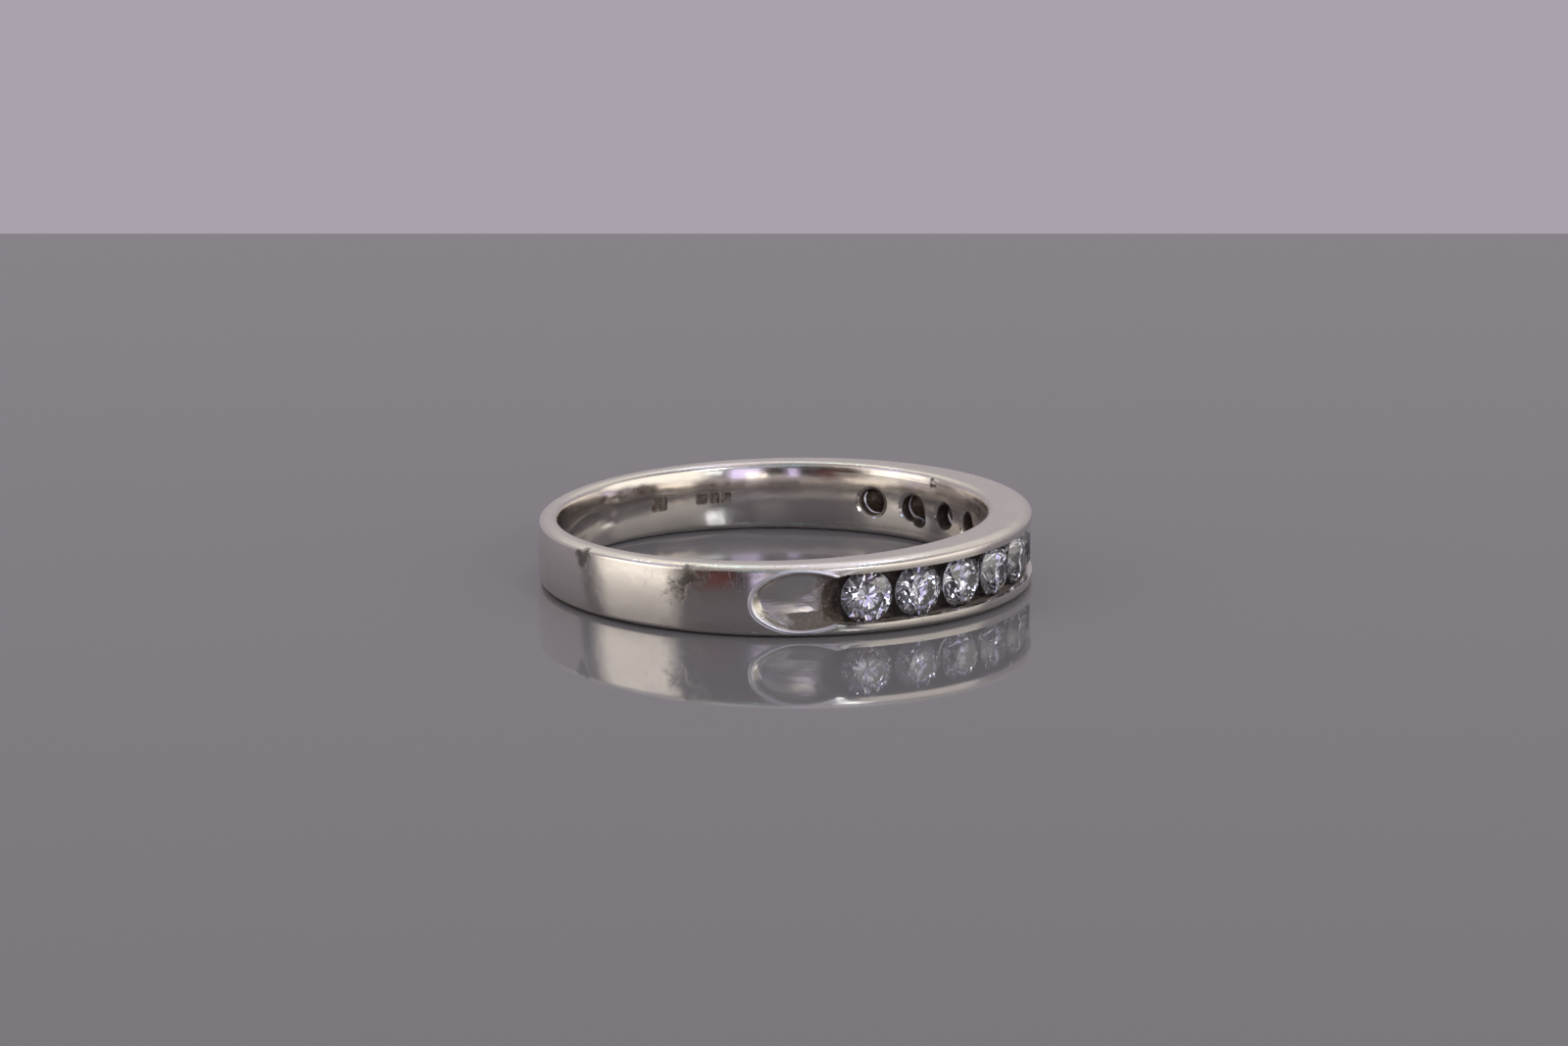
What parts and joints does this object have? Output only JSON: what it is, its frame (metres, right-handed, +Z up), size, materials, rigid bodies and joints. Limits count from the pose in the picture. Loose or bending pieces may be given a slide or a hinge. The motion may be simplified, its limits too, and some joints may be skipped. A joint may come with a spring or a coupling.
{
  "type": "channel set band ring",
  "caption": "Tapered metal band ring with a row of round brilliants held in a channel round its head and a scooped pocket at each end of the row.",
  "frame": {"origin": "bottom centre of the ring's box as it lies on its side, under the middle of the outside circle", "axes": "+Z up, along the finger hole but for half the band's taper; +X towards the middle of the row of stones"},
  "size_m": [0.0202, 0.0202, 0.0031],
  "materials": {
    "white_gold": "polished",
    "diamond": "polished"
  },
  "bodies": {
    "root": {"band": "white_gold", "stone_01": "diamond", "stone_02": "diamond", "stone_03": "diamond", "stone_04": "diamond", "stone_05": "diamond", "stone_06": "diamond", "stone_07": "diamond", "stone_08": "diamond", "stone_09": "diamond", "stone_10": "diamond", "stone_11": "diamond"}
  },
  "joints": []
}
